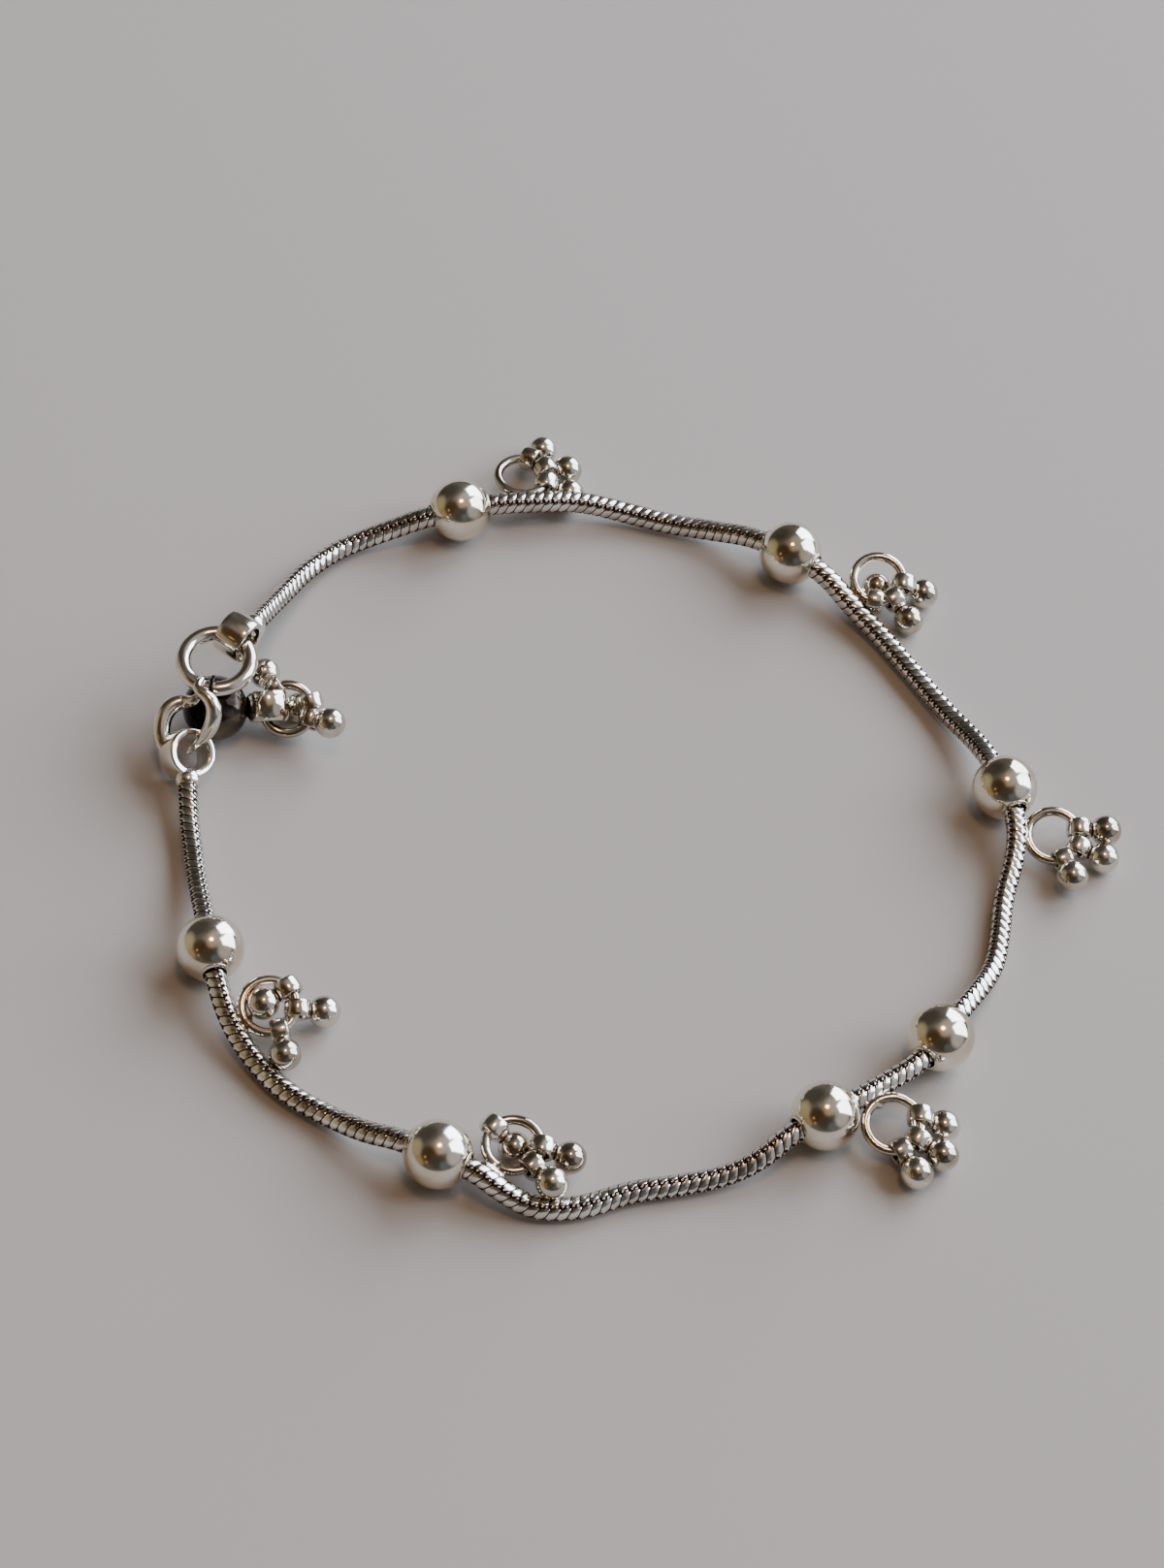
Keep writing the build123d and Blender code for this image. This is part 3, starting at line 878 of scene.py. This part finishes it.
# ---------------------------------------------------------------------------
# The bunch: a jump ring in the drop's loop with three more ghungroo.
# The same wire and the same bells as on the charm rings, lying tumbled over each
# other.
# ---------------------------------------------------------------------------
BUNCH = [(130, -45, 0), (340, 40, 12), (22, -120, 0)]     # around, lift, lean

bunch_ring = wire_ring(BUNCH_RING_RADIUS, CHARM_RING_WIRE)
bunch_ring.name = "bunch_ring_wire"
settle(bunch_ring, standing(BUNCH_RING, bunch_up, -bunch_right))
bunch_ring.data.materials.append(tarnished_silver)
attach(bunch_ring, "root")
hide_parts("bunch_ring")
for number, (around, lift, lean) in enumerate(BUNCH, 1):
    hang_bell(bell_to_copy, f"bell_bunch_{number}", f"ghungroo_bunch_{number}",
              BUNCH_RING, BUNCH_RING_RADIUS, BUNCH_RING_TILT, around, lift, lean)
bpy.data.objects.remove(bell_to_copy)

# ---------------------------------------------------------------------------
# The view.
# A long lens close to the table, looking down at the anklet from its front and held
# a little aslant, with everything sharp.
# ---------------------------------------------------------------------------
VIEW_TARGET = Vector((-0.0053, 0.0038, 0))         # near the middle of the loop
VIEW_DISTANCE = 0.386
VIEW_ELEVATION = 50.7              # degrees above the table
VIEW_ROLL = 6.0                    # degrees
VIEW_LENS = 89.2                   # mm

away = Vector((0, cos(radians(VIEW_ELEVATION)), -sin(radians(VIEW_ELEVATION))))
level_right = Vector((1, 0, 0))
level_up = level_right.cross(away)
right = level_right * cos(radians(VIEW_ROLL)) + level_up * sin(radians(VIEW_ROLL))
up = level_up * cos(radians(VIEW_ROLL)) - level_right * sin(radians(VIEW_ROLL))
eye = bpy.data.cameras.new("view")
eye.lens = VIEW_LENS
eye.clip_start = 0.01
camera = bpy.data.objects.new("view", eye)
bpy.context.collection.objects.link(camera)
turn = Matrix((right, up, -away)).transposed().to_4x4()
camera.matrix_world = Matrix.Translation(VIEW_TARGET - away * VIEW_DISTANCE) @ turn
bpy.context.scene.camera = camera

# ---------------------------------------------------------------------------
# The table that the anklet lies on.
# Pale cotton pulled flat, plain and matt, so that it takes the soft shadows and
# gives its grey to the undersides.
# ---------------------------------------------------------------------------
TABLE_WIDTH = 6
CLOTH_COLOUR = "#ABA39B"

deselect()
bpy.ops.mesh.primitive_plane_add(size=TABLE_WIDTH)
table = bpy.context.object
table.name = "table_cloth"
cloth, tree, output = new_material("pale_cotton")
shader = add_node(tree, "ShaderNodeBsdfPrincipled",
                  values={"Base Color": linear(CLOTH_COLOUR), "Roughness": 0.9})
tree.links.new(shader.outputs["BSDF"], output.inputs["Surface"])
table.data.materials.append(cloth)

# ---------------------------------------------------------------------------
# The light.
# Two tall windows on the right, a warm lamp overhead, and a dim room whose walls
# and furniture are what the polished silver mirrors.
# ---------------------------------------------------------------------------
WINDOW_WALL = Vector((0.8, 0.6, 0)) * 1.2      # the foot of the wall, and its direction
WINDOW_ALONG = Vector((-0.6, 0.8, 0))
WINDOW_COLOUR = "#DEECFF"
WINDOW_PANES = [
    # along the wall, height of the middle, width, tall, turn in degrees, watts
    (0.50, 0.85, 0.92, 1.50, 0, 45.0),
    (-0.66, 1.10, 1.00, 2.00, 24, 53.0),
]
LAMP_PLACE = (0.05, -0.12, 1.1)
LAMP_SIZE = 0.2
LAMP_WATTS = 2.0
LAMP_COLOUR = "#FFC68A"
ROOM_COLOUR = "#605C56"
ROOM_PATCHES = [
    # what, degrees around and up, full within and gone past so many degrees, colour
    ("ceiling",                  250, 80,  6, 30, "#8A8076"),
    ("lamp's glow",              285, 72,  4, 24, "#B89C88"),
    ("ceiling by the window",     10, 66,  14, 38, "#B4AFAA"),
    ("far wall",                  92, 22,  14, 34, "#625F5C"),
    ("dark doorway",             134, 32,  16, 38, "#47433E"),
    ("beige left wall",          181, 10,  14, 36, "#A89C7E"),
    ("warm corner",              212, 8,   6, 22, "#A08A66"),
    ("brown cupboard",           228, 44,  12, 34, "#4A3A29"),
    ("dark near side",           272, 30,  12, 32, "#4A443C"),
    ("blue curtain",             293, 20,  4, 16, "#5A6570"),
    ("lit wall by the window",   338, 26,  16, 32, "#B8B5B8"),
    ("brass lamp",               223, 31,  1.5, 5, "#D8A868"),
    ("brass shelf",              236, 20,  1, 6, "#B98B50"),
]

for number, (along, height, width, tall, turn, watts) in enumerate(WINDOW_PANES):
    pane = bpy.data.lights.new(f"window_{number}", "AREA")
    pane.shape = "RECTANGLE"
    pane.size, pane.size_y = width, tall
    pane.energy = watts
    pane.color = linear(WINDOW_COLOUR)[:3]
    glass = bpy.data.objects.new(f"window_{number}", pane)
    bpy.context.collection.objects.link(glass)
    facing = Matrix((WINDOW_ALONG, Vector((0, 0, 1)), WINDOW_WALL.normalized()))
    glass.matrix_world = (
        Matrix.Translation(WINDOW_WALL + WINDOW_ALONG * along + Vector((0, 0, height)))
        @ facing.transposed().to_4x4() @ Matrix.Rotation(radians(turn), 4, "Z"))

lamp = bpy.data.lights.new("lamp", "AREA")
lamp.shape = "DISK"
lamp.size = LAMP_SIZE
lamp.energy = LAMP_WATTS
lamp.color = linear(LAMP_COLOUR)[:3]
lamp_object = bpy.data.objects.new("lamp", lamp)
lamp_object.location = LAMP_PLACE
bpy.context.collection.objects.link(lamp_object)

room = bpy.data.worlds.new("dim_room")
room.use_nodes = True
tree = room.node_tree
tree.nodes.clear()
looking = add_node(tree, "ShaderNodeTexCoord")
seen = add_node(tree, "ShaderNodeRGB").outputs[0]
seen.default_value = linear(ROOM_COLOUR)
for what, around, height, full, gone, colour in ROOM_PATCHES:
    a, b = radians(around), radians(height)
    facing = add_node(tree, "ShaderNodeVectorMath", {"operation": "DOT_PRODUCT"},
                      {1: (cos(a) * cos(b), sin(a) * cos(b), sin(b))},
                      {0: looking.outputs["Generated"]})
    share = add_node(tree, "ShaderNodeMapRange", {"interpolation_type": "SMOOTHSTEP"},
                     {"From Min": cos(radians(gone)), "From Max": cos(radians(full))},
                     {"Value": facing.outputs["Value"]})
    blend = add_node(tree, "ShaderNodeMix", {"data_type": "RGBA", "label": what},
                     {7: linear(colour)}, {0: share.outputs["Result"], 6: seen})
    seen = blend.outputs[2]
sky = add_node(tree, "ShaderNodeBackground", values={"Strength": 1.0},
               links={"Color": seen})
add_node(tree, "ShaderNodeOutputWorld", links={"Surface": sky.outputs["Background"]})
bpy.context.scene.world = room
